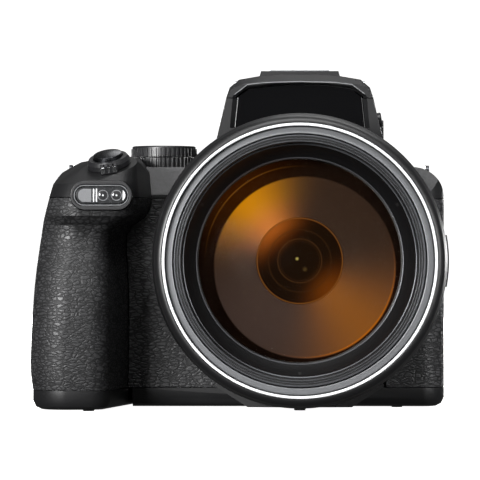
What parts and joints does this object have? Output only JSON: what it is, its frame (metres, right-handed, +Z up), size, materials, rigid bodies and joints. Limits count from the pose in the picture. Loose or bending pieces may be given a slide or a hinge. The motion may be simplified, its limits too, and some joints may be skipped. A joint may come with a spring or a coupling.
{
  "type": "bridge camera",
  "caption": "Bridge camera with a deep hand grip, viewfinder hump with lift-up flash, swing-out monitor, control dials and a large zoom lens that extends in two stages.",
  "frame": {"origin": "mouth of the tripod socket, on the plane of the feet, straight below the lens axis", "axes": "+X to the right as seen from in front of the lens, +Y from the lens to the eyecup, +Z up"},
  "size_m": [0.1463, 0.1813, 0.1188],
  "materials": {
    "shell": "fine sand texture",
    "skin": "creased leather grain",
    "gloss": "polished",
    "lamp_lens": "moulded clear",
    "steel": "satin",
    "clear_glass": "polished",
    "alloy": "cast",
    "board": "solder mask",
    "sensor": "coated",
    "inner_black": "flat black",
    "cell": "moulded",
    "control": "satin",
    "red_control": "satin",
    "barrel": "satin black",
    "grey_barrel": "satin grey",
    "bright_trim": "turned and polished",
    "ring_rubber": "ribbed",
    "coated_glass": "amber coating",
    "front_glass": "anti-reflection coating",
    "screen": "polished"
  },
  "bodies": {
    "camera": {"front_cover": "shell", "rear_cover": "shell", "top_cover": "shell", "bottom_cover": "shell", "grip_skin": "skin", "face_skins": "skin", "thumb_rest": "skin", "name_plate": "gloss", "lamp_housing": "gloss", "lamp_window": "lamp_lens", "hot_shoe": "steel", "eyelets": "steel", "eyecup": "skin", "eyepiece_lens": "clear_glass", "chassis": "alloy", "main_board": "board", "image_sensor": "sensor", "zoom_motor": "steel", "battery_chamber": "inner_black", "battery": "cell", "tripod_bush": "steel", "screws": "steel", "hinge_pins": "steel", "dial_collar": "control", "base_barrel": "barrel", "fixed_barrel": "barrel", "front_bezel": "barrel", "trim_ring": "bright_trim", "lens_base": "inner_black"},
    "mid_barrel": {"mid_barrel": "grey_barrel", "inner_cell": "inner_black", "inner_lens": "coated_glass"},
    "front_barrel": {"front_barrel": "barrel", "retaining_ring": "inner_black", "front_glass": "front_glass", "front_cell": "inner_black", "second_glass": "coated_glass"},
    "control_ring": {"control_ring": "ring_rubber"},
    "side_lever": {"side_lever": "control"},
    "snapback_button": {"snapback_button": "control"},
    "shutter_button": {"shutter_button": "control"},
    "zoom_lever": {"zoom_lever": "control"},
    "mode_dial": {"mode_dial": "control"},
    "command_dial": {"command_dial": "control"},
    "power_button": {"power_button": "control"},
    "flash_head": {"flash_head": "shell", "flash_window": "lamp_lens"},
    "flash_button": {"flash_button": "control"},
    "diopter_dial": {"diopter_dial": "control"},
    "monitor": {"monitor": "shell", "monitor_glass": "screen"},
    "movie_button": {"movie_button": "red_control"},
    "lock_button": {"lock_button": "control"},
    "play_button": {"play_button": "control"},
    "menu_button": {"menu_button": "control"},
    "delete_button": {"delete_button": "control"},
    "selector_wheel": {"selector_wheel": "control"},
    "ok_button": {"ok_button": "control"},
    "battery_door": {"battery_door": "shell"},
    "connector_flap": {"connector_flap": "skin"}
  },
  "joints": [
    {"name": "zoom_stage_one", "type": "slide", "parent": "camera", "child": "mid_barrel", "axis": [0, -1, 0], "range_m": [0, 0.06]},
    {"name": "zoom_stage_two", "type": "slide", "parent": "mid_barrel", "child": "front_barrel", "axis": [0, -1, 0], "range_m": [0, 0.06]},
    {"name": "control_ring_turn", "type": "hinge", "parent": "camera", "child": "control_ring", "pos_m": [0, -0.094, 0.0512], "axis": [0, -1, 0], "continuous": true},
    {"name": "side_lever_turn", "type": "hinge", "parent": "camera", "child": "side_lever", "pos_m": [0, -0.054, 0.0512], "axis": [0, -1, 0], "range_deg": [-6.5, 6.5], "stiffness_Nm_per_rad": 0.3},
    {"name": "snapback_press", "type": "slide", "parent": "camera", "child": "snapback_button", "axis": [-0.9135, 0, 0.4067], "range_m": [0, 0.0007], "stiffness_N_per_m": 600, "springref_m": -0.0005},
    {"name": "shutter_press", "type": "slide", "parent": "camera", "child": "shutter_button", "axis": [0.147, 0.342, -0.9281], "range_m": [0, 0.0012], "stiffness_N_per_m": 600, "springref_m": -0.0005},
    {"name": "zoom_lever_turn", "type": "hinge", "parent": "camera", "child": "zoom_lever", "pos_m": [-0.0652, -0.048, 0.0838], "axis": [-0.147, -0.342, 0.9281], "range_deg": [-18, 18], "stiffness_Nm_per_rad": 0.03},
    {"name": "mode_dial_turn", "type": "hinge", "parent": "camera", "child": "mode_dial", "pos_m": [-0.0481, 0, 0.088], "axis": [0, 0, 1], "continuous": true},
    {"name": "command_dial_turn", "type": "hinge", "parent": "camera", "child": "command_dial", "pos_m": [-0.068, 0.0152, 0.078], "axis": [0, 0, 1], "continuous": true},
    {"name": "power_press", "type": "slide", "parent": "camera", "child": "power_button", "axis": [0, 0, -1], "range_m": [0, 0.0007], "stiffness_N_per_m": 600, "springref_m": -0.0005},
    {"name": "flash_lift", "type": "hinge", "parent": "camera", "child": "flash_head", "pos_m": [0, -0.008, 0.1136], "axis": [-1, 0, 0], "range_deg": [0, 50]},
    {"name": "flash_button_press", "type": "slide", "parent": "camera", "child": "flash_button", "axis": [-0.9903, 0, -0.1392], "range_m": [0, 0.0007], "stiffness_N_per_m": 600, "springref_m": -0.0005},
    {"name": "diopter_turn", "type": "hinge", "parent": "camera", "child": "diopter_dial", "pos_m": [0.0285, 0.016, 0.097], "axis": [1, 0, 0], "continuous": true},
    {"name": "monitor_swing", "type": "hinge", "parent": "camera", "child": "monitor", "pos_m": [0.043, 0.0217, 0.0392], "axis": [0, 0, -1], "range_deg": [0, 175]},
    {"name": "movie_press", "type": "slide", "parent": "camera", "child": "movie_button", "axis": [0, -1, 0], "range_m": [0, 0.0007], "stiffness_N_per_m": 600, "springref_m": -0.0005},
    {"name": "lock_press", "type": "slide", "parent": "camera", "child": "lock_button", "axis": [0, -1, 0], "range_m": [0, 0.0007], "stiffness_N_per_m": 600, "springref_m": -0.0005},
    {"name": "play_press", "type": "slide", "parent": "camera", "child": "play_button", "axis": [0, -1, 0], "range_m": [0, 0.0007], "stiffness_N_per_m": 600, "springref_m": -0.0005},
    {"name": "menu_press", "type": "slide", "parent": "camera", "child": "menu_button", "axis": [0, -1, 0], "range_m": [0, 0.0007], "stiffness_N_per_m": 600, "springref_m": -0.0005},
    {"name": "delete_press", "type": "slide", "parent": "camera", "child": "delete_button", "axis": [0, -1, 0], "range_m": [0, 0.0007], "stiffness_N_per_m": 600, "springref_m": -0.0005},
    {"name": "selector_turn", "type": "hinge", "parent": "camera", "child": "selector_wheel", "pos_m": [-0.06, 0.024, 0.037], "axis": [0, 1, 0], "continuous": true},
    {"name": "ok_press", "type": "slide", "parent": "camera", "child": "ok_button", "axis": [0, -1, 0], "range_m": [0, 0.0007], "stiffness_N_per_m": 600, "springref_m": -0.0005},
    {"name": "battery_door_swing", "type": "hinge", "parent": "camera", "child": "battery_door", "pos_m": [-0.078, -0.0094, 0.0021], "axis": [1, 0, 0], "range_deg": [0, 95]},
    {"name": "connector_flap_swing", "type": "hinge", "parent": "camera", "child": "connector_flap", "pos_m": [0.0493, 0.0032, 0.04], "axis": [0, 0, 1], "range_deg": [0, 95]}
  ],
  "couplings": [
    {"joint": "zoom_stage_two", "follows": "zoom_stage_one", "ratio": 1}
  ]
}
